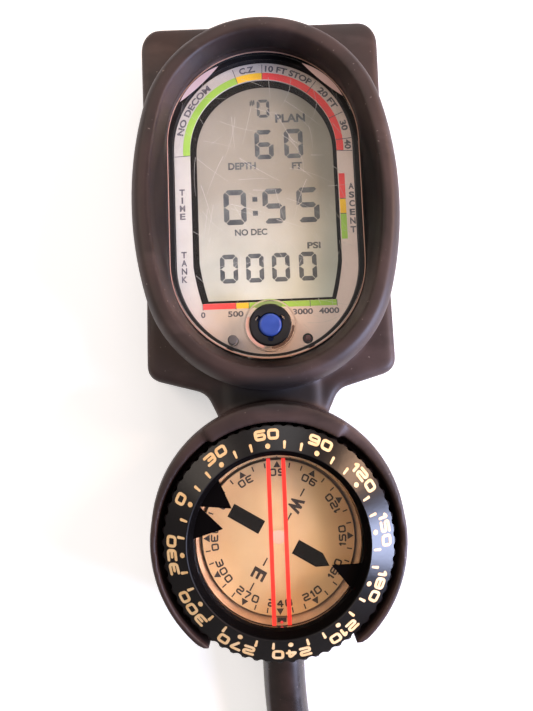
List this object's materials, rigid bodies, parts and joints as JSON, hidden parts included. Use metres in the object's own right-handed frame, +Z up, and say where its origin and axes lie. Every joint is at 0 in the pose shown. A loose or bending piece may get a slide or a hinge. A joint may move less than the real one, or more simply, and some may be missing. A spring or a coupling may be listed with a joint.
{
  "type": "dive computer console",
  "caption": "Air-integrated dive computer and turning-bezel compass in one rubber boot, with a high-pressure hose and fitting.",
  "frame": {"origin": "bottom centre of the console without its hose, on the surface it lies on", "axes": "+Z up towards the diver's eye, +Y along the console towards the computer end, +X to the right"},
  "size_m": [0.1711, 0.3815, 0.0334],
  "materials": {
    "boot_rubber": "moulded matt rubber",
    "case_plastic": "fine texture",
    "seal_rubber": "smooth",
    "clear_lens": "polished, lightly scratched",
    "dial_print": "printed plate, satin",
    "mask_black": "printed, satin",
    "display_glass": "display glass",
    "reflector": "white",
    "contact_rubber": "smooth",
    "board": "solder mask",
    "screw_steel": "turned",
    "chip_plastic": "moulded",
    "can_steel": "drawn",
    "disc_brass": "plain",
    "battery_steel": "drawn",
    "contact_brass": "plain",
    "button_blue": "polished",
    "collar_plastic": "moulded",
    "contact_pin": "worn",
    "lamp_red": "moulded lens",
    "sensor_steel": "turned",
    "fitting_chrome": "plated brass",
    "spool_brass": "turned",
    "ferrule_steel": "crimped",
    "compass_plastic": "moulded",
    "capsule_bowl": "smooth",
    "capsule_clear": "polished",
    "lubber_red": "printed",
    "card_print": "printed",
    "magnet_iron": "plain",
    "jewel": "polished",
    "bezel_plastic": "fine texture",
    "hose_rubber": "extruded cover"
  },
  "bodies": {
    "console": {"battery": "battery_steel", "battery_contacts": "contact_brass", "bezel_click_spring": "screw_steel", "board_screws": "screw_steel", "button_collar": "collar_plastic", "button_seal": "seal_rubber", "button_spring": "screw_steel", "button_switch": "chip_plastic", "capsule_lens": "capsule_clear", "circuit_board": "board", "compass_base": "compass_plastic", "compass_capsule": "capsule_bowl", "computer_case": "case_plastic", "computer_lens": "clear_lens", "console_boot": "boot_rubber", "contact_strips": "contact_rubber", "depth_sensor": "sensor_steel", "dial_mask": "mask_black", "dial_plate": "dial_print", "far_ferrule": "ferrule_steel", "far_fitting": "fitting_chrome", "far_seal": "seal_rubber", "hose": "hose_rubber", "hose_coil": "hose_rubber", "hose_ferrule": "ferrule_steel", "hose_swivel": "fitting_chrome", "inlet_nut": "fitting_chrome", "lcd_panel": "display_glass", "lcd_reflector": "reflector", "lens_seal": "seal_rubber", "lubber_lines": "lubber_red", "pivot_pin": "screw_steel", "pressure_inlet": "fitting_chrome", "pressure_sensor": "sensor_steel", "processor_chip": "chip_plastic", "sound_disc": "disc_brass", "spool_seals": "seal_rubber", "swivel_spool": "spool_brass", "timing_crystal": "can_steel", "warning_lamp": "lamp_red", "wet_contact": "contact_pin"},
    "bezel": {"bezel": "bezel_plastic"},
    "card": {"compass_card": "card_print", "card_magnet": "magnet_iron", "pivot_jewel": "jewel"},
    "button": {"push_button": "button_blue"},
    "battery_cap": {"battery_cap": "case_plastic", "battery_cap_seal": "seal_rubber"}
  },
  "joints": [
    {"name": "bezel_spin", "type": "hinge", "parent": "console", "child": "bezel", "pos_m": [0, -0.0613, 0.027], "axis": [0, 0, 1], "continuous": true},
    {"name": "card_spin", "type": "hinge", "parent": "console", "child": "card", "pos_m": [0, -0.0613, 0.0228], "axis": [0, 0, 1], "continuous": true},
    {"name": "button_press", "type": "slide", "parent": "console", "child": "button", "axis": [0, 0, -1], "range_m": [0, 0.0008], "stiffness_N_per_m": 2500, "springref_m": -0.0004, "deforming": ["button_spring"]},
    {"name": "battery_cap_turn", "type": "hinge", "parent": "console", "child": "battery_cap", "pos_m": [0, 0.052, 0.003], "axis": [0, 0, 1], "range_deg": [0, 90]}
  ]
}
